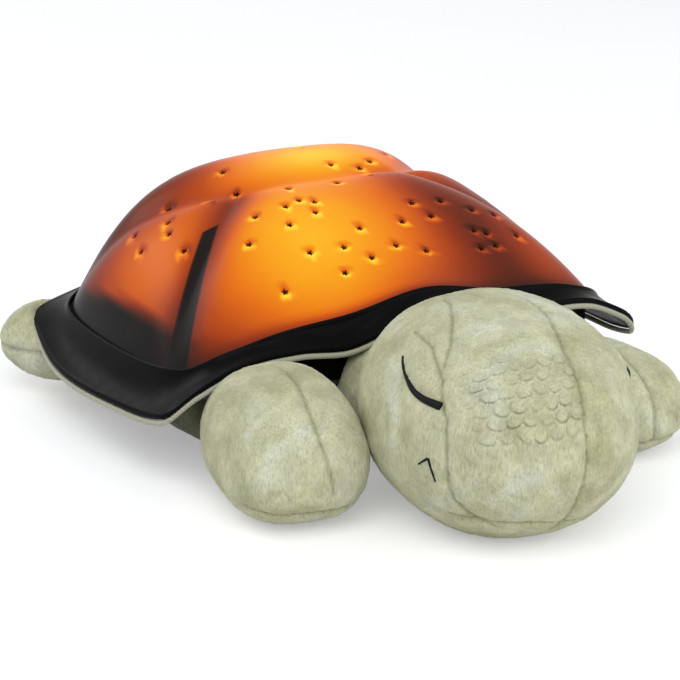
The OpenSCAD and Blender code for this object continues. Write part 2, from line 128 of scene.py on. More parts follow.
def dome_point(a, q, wall=0.0):
    """A point of the skin at a bearing, q from 0 at the apex to 1 at the foot, or that deep inside the moulding."""
    p = APEX + (plan(a, dome_r(a) - wall) - APEX) * q
    base = SEAT_MID + (level(a, SEAT_HEIGHTS) - SEAT_MID) * q ** 3
    top = SHELL_TOP + CROWN_LIFT * VALLEY_DEPTH
    z = (base + (top - base) * (1 - q ** (FALL_AT_SIDE - FALL_TURN * math.cos(math.radians(a))))
         - (valley(p) + wall) * (1 - q ** FOOT_POWER))
    return np.array([p[0], p[1], z])


def alone():
    bpy.ops.object.select_all(action="DESELECT")


def only(*picked):
    """Selects these objects alone, with the first of them active."""
    alone()
    for obj in picked:
        obj.select_set(True)
    bpy.context.view_layer.objects.active = picked[0]


def edit(obj, action="SELECT", kind="VERT"):
    """Opens the object's mesh for editing, with all of it selected or none."""
    only(obj)
    bpy.ops.object.mode_set(mode="EDIT")
    bpy.ops.mesh.select_mode(type=kind)
    bpy.ops.mesh.select_all(action=action)


def close_edit(recalculate=False):
    if recalculate:
        bpy.ops.mesh.select_all(action="SELECT")
        bpy.ops.mesh.normals_make_consistent(inside=False)
    bpy.ops.object.mode_set(mode="OBJECT")


def apply_all(obj):
    only(obj)
    for m in list(obj.modifiers):
        bpy.ops.object.modifier_apply(modifier=m.name)


def added(name, primitive, **settings):
    """A new object from one of Blender's primitives, by itself and named."""
    alone()
    primitive(**settings)
    obj = bpy.context.object
    obj.name = obj.data.name = name
    return obj


def dress(obj, *finishes):
    obj.data.materials.clear()
    for finish in finishes:
        obj.data.materials.append(finish)


def rings(name, steps, heights):
    """A circle of that many points, extruded up through the heights one ring at a time."""
    obj = added(name, bpy.ops.mesh.primitive_circle_add, vertices=steps, radius=1, fill_type="NOTHING")
    edit(obj)
    for _ in range(heights - 1):
        bpy.ops.mesh.extrude_region_move(TRANSFORM_OT_translate={"value": (0, 0, 1)})
    close_edit()
    return obj


def close_ends(obj, last):
    """Joins the last ring to the first, so the section runs all the way round."""
    edit(obj, "DESELECT")
    close_edit()
    for v in obj.data.vertices:
        v.select = round(v.co.z) in (0, last)
    bpy.ops.object.mode_set(mode="EDIT")
    bpy.ops.mesh.bridge_edge_loops()
    close_edit()


def lay(obj, where):
    """Puts each point where the shape says, from its angle round the ring and its ring's number."""
    for v in obj.data.vertices:
        a = math.degrees(math.atan2(v.co.x, -v.co.y))
        v.co = Vector(where(a + CORNER_PULL * math.sin(math.radians(4 * a)), round(v.co.z))) * MM
    edit(obj)
    bpy.ops.mesh.remove_doubles(threshold=TOUCHING)
    close_edit(recalculate=True)


def smooth(obj, angle=35):
    only(obj)
    bpy.ops.object.shade_smooth_by_angle(angle=math.radians(angle))


DOME_STEPS, DOME_ROWS, ROW_CROWDING = 192, 40, 0.85
rows = [(i / DOME_ROWS) ** ROW_CROWDING for i in range(DOME_ROWS + 1)]
dome = rings("lit_dome", DOME_STEPS, 2 * len(rows))
lay(dome, lambda a, k: dome_point(a, rows[DOME_ROWS - k] if k <= DOME_ROWS else rows[k - DOME_ROWS - 1],
                                  0.0 if k <= DOME_ROWS else DOME_WALL))
# The rings run up the outside to the top and down the inside, so the foot is closed by a bridge between the walls
edit(dome)
bpy.ops.mesh.delete_loose(use_verts=True, use_edges=True, use_faces=False)
bpy.ops.mesh.select_all(action="DESELECT")
bpy.ops.mesh.select_non_manifold()
bpy.ops.mesh.bridge_edge_loops()
close_edit(recalculate=True)
BEARING_HALVINGS = 18


def bearing(p):
    """The bearing and the share of the way to the foot at which a place of the plan lies."""
    lo, hi = 0.0, 180.0
    for _ in range(BEARING_HALVINGS):
        mid = (lo + hi) / 2
        f = plan(mid, dome_r(mid)) - APEX
        d = np.array([abs(p[0]), p[1]]) - APEX
        if f[0] * d[1] - f[1] * d[0] > 0:
            lo = mid
        else:
            hi = mid
    a = mid if p[0] >= 0 else -mid
    q = math.hypot(*(p - APEX)) / math.hypot(*(plan(a, dome_r(a)) - APEX))
    return a, q


def dome_normal(a, q):
    """The skin's direction outwards, from the points a little to each side."""
    n = np.cross(dome_point(a + 1, q) - dome_point(a - 1, q), dome_point(a, q + 0.02) - dome_point(a, q - 0.02))
    n /= np.linalg.norm(n)
    return n if n[2] > 0 else -n


STARS = [(-54, -25), (-42, -38), (-66, -41), (-41, -56), (-23, -57), (-30, -70), (-63, -71),
         (-9, -48), (3, -62), (15, -48), (-13, -66), (17, -67), (-25, -33), (-37, -25),
         (-28, -22), (-21, -25), (-26, -8), (1, -9), (32, -47), (27, -37), (43, -38),
         (57, -45), (69, -47), (50, -58), (56, -60), (48, -68), (57, -67), (74, -60),
         (-60, 11), (-45, 11), (-82, 13), (-86, 4), (-97, 13), (-87, -14), (-72, 32),
         (-92, 30), (60, -12), (84, 6), (97, 12), (88, -11), (103, -26), (92, 34),
         (-42, 31), (13, 18), (27, 13), (36, 18), (22, -5), (-15, 52), (10, 46), (38, 46),
         (55, 34), (-30, 60), (-60, 58), (68, 60)]
STAR_R, STAR_WAIST, STAR_TURN, STAR_REACH = 2.3, 0.5, 37, 5
DISH_R, DISH_DEEP, DISH_FOOT_R, DISH_HIGH, DISH_SPREAD = 3.2, 0.45, 1.7, 1.0, 2.6


def star_tool(name, points, radius, low, high, spread):
    """A many-sided plug that stands through the dome's skin, wider at the top where it cuts a dish."""
    tool = added(name, bpy.ops.mesh.primitive_circle_add, vertices=points, radius=radius * MM, fill_type="NGON")
    edit(tool)
    bpy.ops.transform.translate(value=(0, 0, low * MM))
    bpy.ops.mesh.extrude_region_move(TRANSFORM_OT_translate={"value": (0, 0, (high - low) * MM)})
    bpy.ops.transform.resize(value=(spread, spread, 1))
    close_edit(recalculate=True)
    return tool


star_plug = star_tool("star_plug", 10, STAR_R, -STAR_REACH, STAR_REACH, 1.0)
for i, v in enumerate(star_plug.data.vertices):
    if i % 2:
        v.co.x, v.co.y = v.co.x * STAR_WAIST, v.co.y * STAR_WAIST
dish_plug = star_tool("dish_plug", 20, DISH_FOOT_R, -DISH_DEEP, DISH_HIGH, DISH_SPREAD)


def nodes_of(name):
    """A new material with its tree, its shader and the place on the object that its patterns follow."""
    mat = bpy.data.materials.new(name)
    mat.use_nodes = True
    tree = mat.node_tree
    tree.nodes.clear()
    out = tree.nodes.new("ShaderNodeOutputMaterial")
    shader = tree.nodes.new("ShaderNodeBsdfPrincipled")
    tree.links.new(shader.outputs[0], out.inputs[0])
    return mat, tree, shader, put(tree, "ShaderNodeTexCoord").outputs["Object"]


def give(tree, node, inputs):
    """Sets a node's inputs to values, or links them from other nodes' sockets."""
    for k, v in inputs.items():
        if isinstance(v, bpy.types.NodeSocket):
            tree.links.new(v, node.inputs[k])
        else:
            node.inputs[k].default_value = v


def put(tree, kind, inputs=None, **props):
    """A new node with its settings and inputs."""
    node = tree.nodes.new(kind)
    for k, v in props.items():
        setattr(node, k, v)
    give(tree, node, inputs or {})
    return node


def noise(tree, place, scale, detail=2.0, rough=0.5, twist=0.0):
    return put(tree, "ShaderNodeTexNoise", {"Vector": place, "Scale": scale, "Detail": detail, "Roughness": rough,
                                            "Distortion": twist}).outputs["Fac"]


def worked(tree, operation, *values, **props):
    """What a Math node makes of sockets and numbers."""
    return put(tree, "ShaderNodeMath", dict(enumerate(values)), operation=operation, **props).outputs[0]


def vector_worked(tree, operation, a, b, result="Vector"):
    return put(tree, "ShaderNodeVectorMath", {0: a, 1: b}, operation=operation).outputs[result]


def ranged(tree, value, low, high, to_low, to_high, **props):
    """The value's part of one range, as the same part of another."""
    return put(tree, "ShaderNodeMapRange", {"Value": value, "From Min": low, "From Max": high, "To Min": to_low,
                                            "To Max": to_high}, **props).outputs[0]


def ramp(tree, fac, *stops):
    """A colour or a grey that runs through the stops, each a position with its three parts or with one number."""
    r = tree.nodes.new("ShaderNodeValToRGB")
    tree.links.new(fac, r.inputs[0])
    els = r.color_ramp.elements
    while len(els) < len(stops):
        els.new(0.5)
    for e, (at, c) in zip(els, stops):
        e.position = at
        e.color = (*c, 1) if isinstance(c, tuple) else (c, c, c, 1)
    return r.outputs[0]


def relief(tree, shader, height, strength, distance):
    """Fine unevenness of the surface, at most that many metres deep."""
    bump = put(tree, "ShaderNodeBump", {"Height": height, "Strength": strength, "Distance": distance})
    tree.links.new(bump.outputs[0], shader.inputs["Normal"])
    return bump


def rgb(*c):
    """A colour as it shows on a screen, 0 to 255, in the linear values that a shader takes."""
    return tuple((x / 255 / 12.92) if x <= 10 else ((x / 255 + 0.055) / 1.055) ** 2.4 for x in c)


# Amber moulding, with painted light: its colour and emission follow the painted lamp_glow attribute in place of the
# lamp behind it, yellow where it is near and deep red towards the foot
amber, t, shader, place = nodes_of("amber_lit_plastic")
painted_glow = put(t, "ShaderNodeAttribute", attribute_name="lamp_glow").outputs["Fac"]
HAZE = 0.03
haze = ranged(t, noise(t, place, 16.0), 0.3, 0.7, -HAZE, HAZE)
warm = worked(t, "ADD", painted_glow, haze, use_clamp=True)
# Painted shade in the glow: a dark stripe runs down the left front valley, with a slanted top end and soft edges
STRIPE_TOP, STRIPE_RUN, STRIPE_ACROSS = (-0.070, 0.056, 0), (-0.663, -0.749, 0), (0.749, -0.663, 0)
STRIPE_HALF, STRIPE_SPREAD, STRIPE_SLANT, STRIPE_SOFT, STRIPE_SHADE = 0.0030, 0.035, 1.2, 0.0009, 0.06
from_top = vector_worked(t, "SUBTRACT", place, STRIPE_TOP)
along = vector_worked(t, "DOT_PRODUCT", from_top, STRIPE_RUN, "Value")
across = vector_worked(t, "DOT_PRODUCT", from_top, STRIPE_ACROSS, "Value")
half = worked(t, "MULTIPLY_ADD", along, STRIPE_SPREAD, STRIPE_HALF)
inside = worked(t, "SUBTRACT", half, worked(t, "ABSOLUTE", across))
inside = worked(t, "MINIMUM", inside, worked(t, "MULTIPLY_ADD", across, STRIPE_SLANT, along))
stripe_shade = ranged(t, inside, -STRIPE_SOFT, STRIPE_SOFT, 1.0, STRIPE_SHADE, interpolation_type="SMOOTHSTEP")
warm = worked(t, "MULTIPLY", warm, stripe_shade)
give(t, shader, {
    "Base Color": ramp(t, warm, (0.0, rgb(16, 15, 15)), (0.3, rgb(44, 22, 14)), (0.8, rgb(70, 38, 14))),
    "Emission Color": ramp(t, warm, (0.0, rgb(12, 10, 10)), (0.08, rgb(40, 19, 12)), (0.18, rgb(88, 30, 14)),
                           (0.30, rgb(142, 48, 16)), (0.42, rgb(186, 72, 16)), (0.56, rgb(228, 108, 14)),
                           (0.68, rgb(244, 140, 16)), (0.82, rgb(253, 176, 26)), (1.0, rgb(255, 226, 60))),
    "Emission Strength": 0.94, "Roughness": 0.28, "IOR": 1.2, "Specular IOR Level": 0.2})
relief(t, shader, noise(t, place, 45.0), 0.12, 0.0006)

# Inner face of the moulding, seen only through the stars
amber_inside, t, shader, place = nodes_of("amber_inner_face")
give(t, shader, {"Base Color": ramp(t, noise(t, place, 300.0), (0.3, rgb(52, 22, 10)), (0.7, rgb(70, 30, 12))),
                 "Roughness": 0.5})

# Cut walls of the stars, with painted light: their emission glows as strongly as the lamp shows through the plastic
# beside them
star_wall, t, shader, place = nodes_of("star_wall_glow")
lit = put(t, "ShaderNodeAttribute", attribute_name="lamp_glow").outputs["Fac"]
give(t, shader, {
    "Base Color": ramp(t, noise(t, place, 90.0), (0.3, rgb(36, 16, 8)), (0.7, rgb(52, 24, 10))),
    "Emission Color": ramp(t, lit, (0.0, rgb(16, 8, 6)), (0.35, rgb(96, 32, 12)), (0.62, rgb(214, 96, 18)),
                           (0.8, rgb(255, 196, 30)), (1.0, rgb(255, 232, 70))),
    "Emission Strength": 0.9})

dress(dome, amber, amber_inside, star_wall)
for f in dome.data.polygons:
    f.material_index = 1 if f.normal.dot(f.center - Vector((0, SHELL_Y * MM, 0))) < 0 else 0

star_cutters, dish_cutters, star_places = [], [], []
for i, (x, y) in enumerate(STARS):
    a, q = bearing(np.array([x, y + SHELL_Y]))
    at, n = dome_point(a, q), dome_normal(a, q)
    turn = (Vector(n).to_track_quat("Z", "Y").to_matrix().to_4x4()
            @ Matrix.Rotation(math.radians(i * STAR_TURN), 4, "Z"))
    for plug, made, finish in ((star_plug, star_cutters, star_wall), (dish_plug, dish_cutters, amber)):
        cutter = plug.copy()
        cutter.data = plug.data.copy()
        dress(cutter, finish)
        bpy.context.scene.collection.objects.link(cutter)
        cutter.data.transform(Matrix.Translation(Vector(at) * MM) @ turn)
        made.append(cutter)
    fall = np.array([0, 0, -1]) + n[2] * n
    star_places.append((at, n, fall / np.linalg.norm(fall)))
for plug in (star_plug, dish_plug):
    bpy.data.objects.remove(plug)

# Panel frame: a flat block moulded into the rear slope of the dome, open in the middle for the buttons
PANEL_DOWN, PANEL_PROUD = 0.82, 1.4
PANEL_W, PANEL_H, PANEL_T = 74, 26, 10
PANEL_FIT, PANEL_EDGE, PANEL_SCREW_X, PANEL_SCREW_R = 0.2, 0.8, 34, 0.95
BEZEL_W, BEZEL_H, BEZEL_T = 66, 18, 3
BUTTON_PITCH, BUTTON_D, BUTTON_ROOM = 15, 9, 4
panel_n = dome_normal(180, PANEL_DOWN)
panel_p = dome_point(180, PANEL_DOWN) + PANEL_PROUD * panel_n
AT_PANEL = (Matrix.Translation(Vector(panel_p) * MM)
            @ Matrix.Rotation(math.radians(-math.degrees(math.atan2(panel_n[1], panel_n[2]))), 4, "X"))


def block(name, w, h, z0, z1):
    """A box of that width and height between two levels."""
    obj = added(name, bpy.ops.mesh.primitive_cube_add, size=1)
    obj.data.transform(Matrix.Diagonal((w * MM, h * MM, (z1 - z0) * MM, 1)))
    obj.data.transform(Matrix.Translation((0, 0, (z0 + z1) / 2 * MM)))
    return obj


def at_origin(obj):
    """Takes the object's place into its mesh."""
    obj.data.transform(obj.matrix_world)
    obj.matrix_world = Matrix.Identity(4)


def cut(obj, tools):
    """Takes the tools' solids out of the piece and throws the tools away."""
    only(*tools)
    if len(tools) > 1:
        bpy.ops.object.join()
    m = obj.modifiers.new("cut", "BOOLEAN")
    m.operation, m.object, m.solver = "DIFFERENCE", tools[0], "MANIFOLD"
    apply_all(obj)
    bpy.data.objects.remove(tools[0])


frame_tool = block("panel_room", PANEL_W - PANEL_FIT, PANEL_H - PANEL_FIT, -40, 6)
frame_tool.data.transform(AT_PANEL)
for tools in ([frame_tool], dish_cutters, star_cutters):
    cut(dome, tools)

panel_frame = block("panel_frame", PANEL_W, PANEL_H, -PANEL_T, 0)
bevel = panel_frame.modifiers.new("bevel", "BEVEL")
bevel.width, bevel.segments = PANEL_EDGE * MM, 3
apply_all(panel_frame)
tools = [block("pocket", BEZEL_W + PANEL_FIT, BEZEL_H + PANEL_FIT, -BEZEL_T, 1),
         block("window", 4 * BUTTON_PITCH, BUTTON_D + BUTTON_ROOM, -PANEL_T - 1, -1)]
for x in (-PANEL_SCREW_X, PANEL_SCREW_X):
    tools.append(added("screw_hole", bpy.ops.mesh.primitive_cylinder_add, vertices=24, radius=PANEL_SCREW_R * MM,
                       depth=6 * MM, location=(x * MM, 0, (-PANEL_T + 2) * MM)))
    at_origin(tools[-1])
for tool in tools:
    cut(panel_frame, [tool])
panel_frame.data.transform(AT_PANEL)
dress(panel_frame, amber)
for f in panel_frame.data.polygons:
    f.material_index = 0
smooth(panel_frame)

# Painted light, where the lamp shows through the shell: middle and reach of each patch in millimetres, and its
# strength
FRONT_PATCH, FRONT_FALL, FRONT_POWER = ((-35, 18), (70, 58), 0.84), 0.85, 1.2
PATCHES = [((10, 92), (62, 40), 0.96), ((-98, 76), (34, 50), 0.42), ((88, 4), (36, 60), 0.36)]
# Painted shade, where it shows less: the run, width and strength of two dark bands, then the valleys, the foot, the
# steep side on the toy's right and the rear slope
SHADE_BANDS = [(((34, 62), (62, -28)), 16, 0.30), (((-52, 66), (-122, 4)), 11, 0.45)]
VALLEY_SHADE, FOOT_BAND, FOOT_GLOW = 0.22, 0.06, 0.6
SIDE_MID, SIDE_HALF, SIDE_FADE = 97, 22, 26
SIDE_FROM, SIDE_WAVE, SIDE_WAVE_AT, SIDE_SOFT = 0.945, 0.05, 75, 0.035
REAR_FROM, REAR_SPREAD, REAR_SOFT, REAR_SHADE = 128, 0.3, 30, 0.6
# Painted light and shade round each star: a bright crescent below it, a dull one above, and a wall that darkens
# inwards
STAR_BOX, STAR_NEAR, DISH_FADE = 7, 30, 1.2
CRESCENT_LOW, CRESCENT_HIGH, CRESCENT_LEAST, CRESCENT_GAIN = 0.34, 0.16, 0.35, 1.3
INWARD_FROM, INWARD_RUN, INWARD_SHADE, INWARD_TOP = 0.2, 1.6, 0.6, 1.2


def part_of(value):
    return min(max(value, 0), 1)


def eased(u):
    return u * u * (3 - 2 * u)


def write(obj, key, values):
    """Keeps a number at every vertex, for the material to read."""
    obj.data.attributes.new(key, "FLOAT", "POINT").data.foreach_set("value", values)


def away_from(x, y, mid, reach):
    return ((x - mid[0]) / reach[0]) ** 2 + ((y - mid[1]) / reach[1]) ** 2


def paint_lamp_light(obj):
    """Painted lamp light: how strongly the lamp shows through each point, most over the lamp, little at the foot and
    in the valleys.
    """
    values = []
    for v in obj.data.vertices:
        here = np.array(v.co) / MM
        x, y = here[0], here[1]
        a, q = bearing(here[:2])
        mid, reach, strength = FRONT_PATCH
        dim = 1 - strength * math.exp(-FRONT_FALL * away_from(x, y, mid, reach) ** FRONT_POWER)
        for mid, reach, strength in PATCHES:
            dim *= 1 - strength * math.exp(-away_from(x, y, mid, reach))
        h = 1 - dim
        for run, width, strength in SHADE_BANDS:
            h *= 1 - strength * math.exp(-(span(here[:2], run)[0] / width) ** 2)
        h *= 1 - VALLEY_SHADE * valley(here[:2]) / VALLEY_DEPTH
        h *= FOOT_GLOW + (1 - FOOT_GLOW) * eased(part_of((1.0 - q) / FOOT_BAND))
        if a < 0:
            side = part_of(1 - (abs(abs(a) - SIDE_MID) - SIDE_HALF) / SIDE_FADE)
            wave = SIDE_WAVE * math.cos(2 * math.radians(a + SIDE_WAVE_AT))
            h *= 1 - eased(part_of((q - SIDE_FROM + wave) / SIDE_SOFT) * side)
        h *= 1 - REAR_SHADE * part_of((y - REAR_FROM - REAR_SPREAD * abs(x)) / REAR_SOFT)
        for at, n, fall in star_places:
            away = here - at
            if abs(away[0]) < STAR_BOX and abs(away[1]) < STAR_BOX and np.dot(away, away) < STAR_NEAR:
                low = np.dot(away, fall) / DISH_R
                near = max(0.0, 1 - max(0.0, math.sqrt(np.dot(away, away)) - DISH_R) / DISH_FADE)
                deep = part_of((-np.dot(away, n) - INWARD_FROM) / INWARD_RUN)
                crescent = CRESCENT_LOW * max(low, 0) + CRESCENT_HIGH * min(low, 0)
                h += near * (crescent * (CRESCENT_LEAST + h) * CRESCENT_GAIN
                             - INWARD_SHADE * deep * h * (INWARD_TOP - low))
        values.append(part_of(h))
    write(obj, "lamp_glow", values)


paint_lamp_light(dome)
paint_lamp_light(panel_frame)
smooth(dome, 40)
for piece in (dome, panel_frame):
    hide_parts("dome")
    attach(piece, "turtle")

# ---------------------------------------------------------------- black rim
# One gloss black moulding that carries the dome: an inner seat, a rounded lip and a skirt that flares to four
# corners. Four bosses under it take the screws of the base tray.
RIM_T, DECK_Z, RIM_STEPS = 2.4, 42, 216
SEAT_IN, SEAT_WALL_IN, SEAT_T, TOUCH = 6, 3.6, 3, 0.05
SKIRT_START, SKIRT_BEND, UNDER_STEPS, TOP_STEPS = (2, 1), (0.45, 0.35), 12, 16
UNDER_IN = 0.6
EDGE_ROUND = [(0.9, RIM_T), (0.2, RIM_T - 0.4), (0, RIM_T / 2), (0.15, 0.3)]
LIP = [(2.3, 1.3), (1.7, 2.1), (1.0, 2.2), (0.45, 1.6), (0.3, 0.8), (0.3, 0)]
BOSS_AT, BOSS_IN, BOSS_R, BOSS_HOLE_R, BOSS_HOLE_DEEP = (28, -28, 152, -152), 9, 4.5, 1.53, 12


def skirt(a, t):
    """A point of the skirt's upper side, as radius and height, with t from 0 at the dome to 1 at the edge."""
    d, e = dome_r(a), rim_r(a)
    s, z = level(a, SEAT_HEIGHTS), level(a, EDGE_HEIGHTS)
    pts = ((d + SKIRT_START[0], s + SKIRT_START[1]),
           (d + (e - d) * SKIRT_BEND[0], z + (s - z) * SKIRT_BEND[1]), (e, z))
    w = ((1 - t) ** 2, 2 * t * (1 - t), t * t)
    return np.array([sum(k * p[0] for k, p in zip(w, pts)), sum(k * p[1] for k, p in zip(w, pts))])


def rim_section(a):
    """The rim's section at a bearing: seat and wall, the skirt's underside, its edge, its top and the lip."""
    d, s = dome_r(a), level(a, SEAT_HEIGHTS) - TOUCH
    seat = [(d - SEAT_IN, DECK_Z), (d - SEAT_WALL_IN, DECK_Z), (d - SEAT_WALL_IN, s - SEAT_T)]
    under = [skirt(a, k / UNDER_STEPS) - (UNDER_IN, RIM_T) for k in range(3, UNDER_STEPS)]
    edge = [skirt(a, 1) - p for p in EDGE_ROUND]
    top = [skirt(a, k / TOP_STEPS) for k in range(TOP_STEPS - 1, 0, -1)]
    lip = [(d + r, s + z) for r, z in LIP]
    return seat + under + edge + top + lip + [(d - SEAT_IN, s)]


RIM_RINGS = len(rim_section(0))
rim = rings("black_rim", RIM_STEPS, RIM_RINGS)
close_ends(rim, RIM_RINGS - 1)
sections = {}


def rim_place(a, k):
    """A point of the rim, from a section that is worked out once for each bearing."""
    key = round(a, 4)
    if key not in sections:
        sections[key] = rim_section(a)
    r, z = sections[key][k]
    return (*plan(a, r), z)


lay(rim, rim_place)
bosses = []
for a in BOSS_AT:
    c = plan(a, dome_r(a) - BOSS_IN)
    tall = level(a, SEAT_HEIGHTS) - DECK_Z - 1
    boss = added("rim_boss", bpy.ops.mesh.primitive_cylinder_add, vertices=48, radius=BOSS_R * MM,
                 depth=tall * MM, location=(c[0] * MM, c[1] * MM, (DECK_Z + tall / 2) * MM))
    edit(boss, "DESELECT", "FACE")
    close_edit()
    for f in boss.data.polygons:
        f.select = f.normal.z < -0.9
    bpy.ops.object.mode_set(mode="EDIT")
    bpy.ops.mesh.inset(thickness=(BOSS_R - BOSS_HOLE_R) * MM)
    bpy.ops.mesh.extrude_region_move(TRANSFORM_OT_translate={"value": (0, 0, BOSS_HOLE_DEEP * MM)})
    close_edit()
    at_origin(boss)
    bosses.append(boss)
only(rim, *bosses)
bpy.ops.object.join()

black, t, shader, place = nodes_of("black_gloss_plastic")
cloud, scuff = noise(t, place, 22.0, 4.0), noise(t, place, 140.0, 6.0, 0.7)
give(t, shader, {"Base Color": ramp(t, cloud, (0.3, rgb(9, 9, 10)), (0.7, rgb(17, 17, 18))),
                 "Roughness": ramp(t, scuff, (0.35, 0.2), (0.75, 0.36)),
                 "IOR": 1.16, "Specular IOR Level": 0.18})
relief(t, shader, cloud, 0.1, 0.001)
dress(rim, black)
smooth(rim, 50)
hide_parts("rim")
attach(rim, "turtle")

# ---------------------------------------------------------------- piping
# A beige cord in a woven sleeve, sewn to the fabric skirt under the rim and drawn tight against its edge.
PIPING_D, PIPING_OUT, PIPING_GAP = 2.8, 0.4, 0.25
PIPING_STEPS, PIPING_SIDES = 360, 12
piping = rings("beige_piping", PIPING_STEPS, PIPING_SIDES)
close_ends(piping, PIPING_SIDES - 1)


def piping_place(a, k):
    """A point of the cord's skin, k of its sides round from the inside."""
    half, w = PIPING_D / 2, math.radians(k * 360 / PIPING_SIDES)
    r, z = rim_r(a) + PIPING_OUT - half, level(a, EDGE_HEIGHTS) - RIM_T - PIPING_GAP - half
    return (*plan(a, r - half * math.cos(w)), z - half * math.sin(w))


lay(piping, piping_place)
sleeve, t, shader, place = nodes_of("beige_sleeve")
weave = put(t, "ShaderNodeTexWave", {"Vector": place, "Scale": 420.0, "Distortion": 1.5, "Detail": 2.0},
            wave_type="BANDS", bands_direction="DIAGONAL").outputs["Fac"]
give(t, shader, {"Base Color": ramp(t, weave, (0.1, rgb(156, 154, 134)), (0.9, rgb(182, 180, 158))),
                 "Roughness": 0.85, "Sheen Weight": 0.3})
relief(t, shader, weave, 0.25, 0.0002)
dress(piping, sleeve)
smooth(piping, 80)
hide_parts("piping")
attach(piping, "turtle")

# ---------------------------------------------------------------- tray, bay and door
# The base tray closes the shell from below and holds the cell bay. Its door has two tongues and one screw.


def finish_on(names, mat):
    """Gives the solids that the CAD made this finish."""
    for n in names:
        dress(nodes[n], mat)


def moulded(name, dark, light, rough=0.5, grain_size=900.0, depth=0.15):
    """Plain moulded plastic with a fine spark-eroded grain."""
    mat, t, shader, place = nodes_of(name)
    broad, fine = noise(t, place, 30.0, 3.0), noise(t, place, grain_size)
    give(t, shader, {"Base Color": ramp(t, broad, (0.3, dark), (0.7, light)),
                     "Roughness": ramp(t, fine, (0.3, rough - 0.06), (0.7, rough + 0.08))})
    relief(t, shader, fine, depth, 0.0002)
    return mat


finish_on(["base_tray", "cell_door"], moulded("dark_grained_plastic", rgb(44, 44, 46), rgb(60, 60, 62)))


# Screws, switch shells and cell contacts: plated steel, brushed along its length
def metal(name, dark, light, rough):
    mat, t, shader, place = nodes_of(name)
    along = put(t, "ShaderNodeMapping", {"Vector": place, "Scale": (900, 900, 60)}).outputs[0]
    brush = noise(t, along, 1.0, 3.0)
    give(t, shader, {"Base Color": ramp(t, brush, (0.3, dark), (0.7, light)),
                     "Roughness": ramp(t, brush, (0.3, rough), (0.7, rough + 0.15)), "Metallic": 1.0})
    return mat


finish_on(["base_screws", "led_board_screws", "control_board_screws", "button_board_screws", "door_screw",
           "switch_bodies"], metal("plated_steel", rgb(150, 150, 152), rgb(186, 186, 188), 0.25))
finish_on(["contacts"], metal("nickel_spring_leaf", rgb(178, 174, 162), rgb(206, 202, 190), 0.2))


# ---------------------------------------------------------------- boards, lamps and their parts
# Glass-fibre boards on standoffs: a white one with three lamps, a green one with the chip and capacitors.
def board_finish(name, dark, light, track):
    mat, t, shader, place = nodes_of(name)
    lines = put(t, "ShaderNodeTexBrick", {"Vector": place, "Scale": 180.0, "Mortar Size": 0.05,
                                          "Color1": (*dark, 1), "Color2": (*light, 1), "Mortar": (*track, 1)})
    give(t, shader, {"Base Color": lines.outputs["Color"], "Roughness": 0.3})
    relief(t, shader, lines.outputs["Fac"], 0.2, 0.0001)
    return mat


finish_on(["led_board"], board_finish("white_board", rgb(224, 224, 220), rgb(232, 232, 228), rgb(206, 206, 200)))
finish_on(["control_board", "button_board"],
          board_finish("green_board", rgb(24, 92, 48), rgb(28, 100, 54), rgb(40, 124, 66)))
finish_on(["control_chip"], moulded("chip_black", rgb(26, 26, 28), rgb(36, 36, 38), 0.45))
finish_on(["capacitors"], moulded("capacitor_sleeve", rgb(20, 26, 70), rgb(30, 38, 90), 0.3))


def lens(name, dark, light, glow):
    mat, t, shader, place = nodes_of(name)
    tint = ramp(t, noise(t, place, 500.0), (0.3, dark), (0.7, light))
    give(t, shader, {"Base Color": tint, "Emission Color": tint, "Emission Strength": glow, "Roughness": 0.08})
    return mat


for colour, dark, light, glow in (("amber", rgb(255, 170, 40), rgb(255, 200, 80), 1.5),
                                  ("green", rgb(90, 190, 110), rgb(120, 215, 140), 0.0),
                                  ("blue", rgb(90, 120, 220), rgb(120, 150, 240), 0.0)):
    finish_on([colour + "_led"], lens(colour + "_lens", dark, light, glow))

# ---------------------------------------------------------------- cells
# Three standard cells in a plain two-tone sleeve, the middle one turned round.
SLEEVE_SPLIT_X = 0.013
wrap, t, shader, place = nodes_of("cell_sleeve")
across = put(t, "ShaderNodeSeparateXYZ", {0: place}).outputs["X"]
tones = put(t, "ShaderNodeMix", {0: worked(t, "GREATER_THAN", across, SLEEVE_SPLIT_X),
                                 6: (*rgb(62, 70, 80), 1), 7: (*rgb(178, 150, 92), 1)}, data_type="RGBA")
give(t, shader, {"Base Color": tones.outputs[2], "Metallic": 0.5,
                 "Roughness": ramp(t, noise(t, place, 200.0, 4.0), (0.3, 0.22), (0.7, 0.38))})
finish_on(["cell_1", "cell_2", "cell_3"], wrap)

# ---------------------------------------------------------------- control panel
# A black bezel set flush in the panel frame, with four sprung keys that each press a switch on the board behind.
finish_on(["bezel", "power_plunger", "amber_plunger", "green_plunger", "blue_plunger"],
          moulded("bezel_black", rgb(20, 20, 21), rgb(30, 30, 32), 0.42))
for button, key, dark, light in (("power", "white", rgb(214, 214, 210), rgb(228, 228, 224)),
                                 ("amber", "amber", rgb(226, 134, 30), rgb(238, 150, 44)),
                                 ("green", "green", rgb(66, 158, 80), rgb(80, 172, 92)),
                                 ("blue", "blue", rgb(44, 84, 186), rgb(56, 98, 200))):
    finish_on([button + "_button"], moulded(key + "_key", dark, light, 0.3, 400.0, 0.08))

# ---------------------------------------------------------------- plush head
# The sleeping head: a stuffed bag of short-pile plush, sewn from a centre gusset with pressed-in scales, two cheeks
# and a chin panel. The seams pull the stuffed skin in.
HEAD_MID, HEAD_TURN = np.array([-13.4, -109.0, 48.5]), -6.0
NAP, SEAM_SHADE_TONE = (1150, 1150, 300), (0.5, 0.5, 0.44, 1)
SCALE_WAVER, SCALE_DRIFT, PAD_IN, PAD_OUT, PAD_DEEP = 0.7, 0.6, 0.30, 0.56, 0.0020


